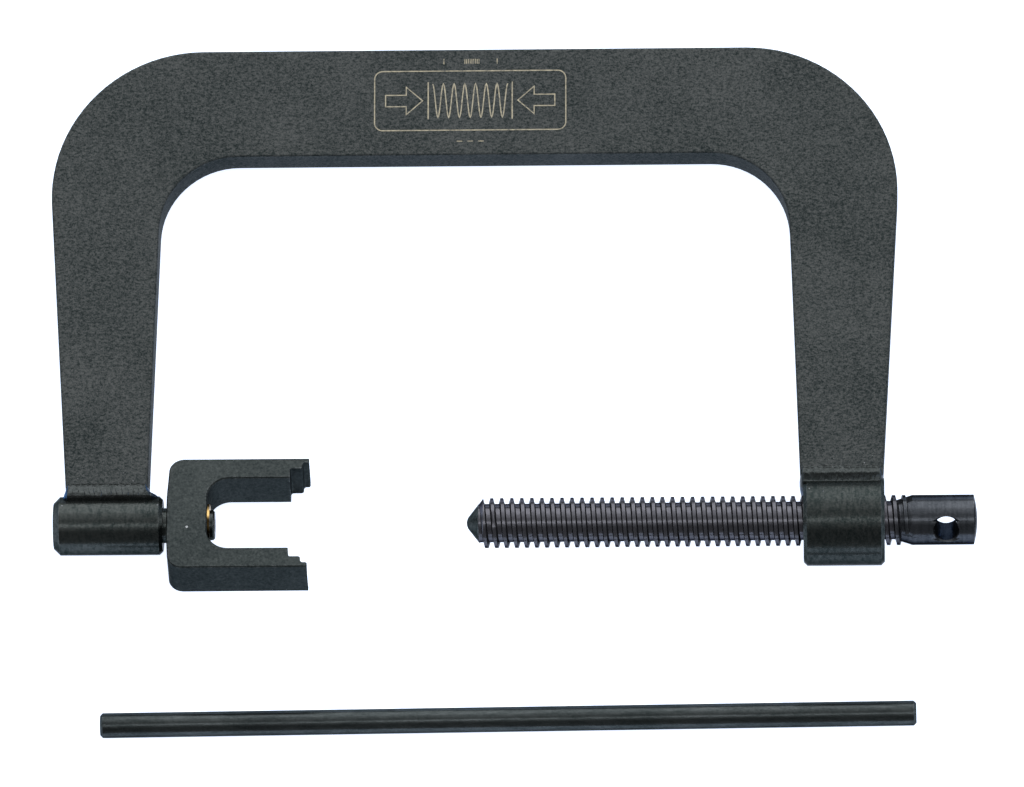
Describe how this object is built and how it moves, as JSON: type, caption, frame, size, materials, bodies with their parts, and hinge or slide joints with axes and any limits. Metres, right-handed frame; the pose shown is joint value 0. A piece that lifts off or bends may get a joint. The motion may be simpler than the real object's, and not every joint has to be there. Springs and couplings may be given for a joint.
{
  "type": "coil spring compressor",
  "caption": "C-frame spring compressor: a swivelling fork on one leg faces a coarse-threaded pressure screw in the other, with a loose bar to turn the screw.",
  "frame": {"origin": "on the pressing axis, at the floor of the seat in the fork's jaws", "axes": "+X along the pressing axis from the fork to the screw's head, +Y from the screw to the frame's top bar, +Z out of the frame's flat face; the tool lies flat"},
  "size_m": [0.2937, 0.2222, 0.0286],
  "materials": {
    "black_oxide_plate": "satin black oxide over a fine-blasted plate",
    "black_oxide_steel": "satin black oxide over turned bar",
    "weld_steel": "black oxide over a rippled weld bead",
    "black_oxide_fork": "satin black oxide over milled steel",
    "brass": "plain turned brass",
    "fastener_steel": "black oxide",
    "thread_steel": "glossier black oxide with bright flanks on the thread",
    "bar_steel": "black oxide over drawn round bar"
  },
  "bodies": {
    "frame": {"c_frame": "black_oxide_plate", "fork_boss": "black_oxide_steel", "screw_boss": "black_oxide_steel", "fork_boss_weld_front": "weld_steel", "fork_boss_weld_back": "weld_steel", "screw_boss_weld_front": "weld_steel", "screw_boss_weld_back": "weld_steel", "keeper_washer": "brass", "keeper_screw": "fastener_steel"},
    "fork": {"fork": "black_oxide_fork"},
    "screw_point": {"screw_point": "thread_steel"},
    "pressure_screw": {"pressure_screw": "thread_steel"},
    "tommy_bar": {"tommy_bar": "bar_steel"}
  },
  "joints": [
    {"name": "fork_swivel", "type": "hinge", "parent": "frame", "child": "fork", "pos_m": [-0.032, 0, 0], "axis": [1, 0, 0], "continuous": true},
    {"name": "screw_advance", "type": "slide", "parent": "frame", "child": "screw_point", "axis": [-1, 0, 0], "range_m": [-0.1, 0.0025]},
    {"name": "screw_turn", "type": "hinge", "parent": "screw_point", "child": "pressure_screw", "pos_m": [0.0561, 0, 0], "axis": [-1, 0, 0], "range_deg": [-11338.6, 283.5]},
    {"name": "bar_lift", "type": "slide", "parent": "frame", "child": "tommy_bar", "axis": [0, 0, 1], "range_m": [0, 0.1]}
  ],
  "couplings": [
    {"joint": "screw_turn", "follows": "screw_advance", "rad_per_m": 1979}
  ]
}
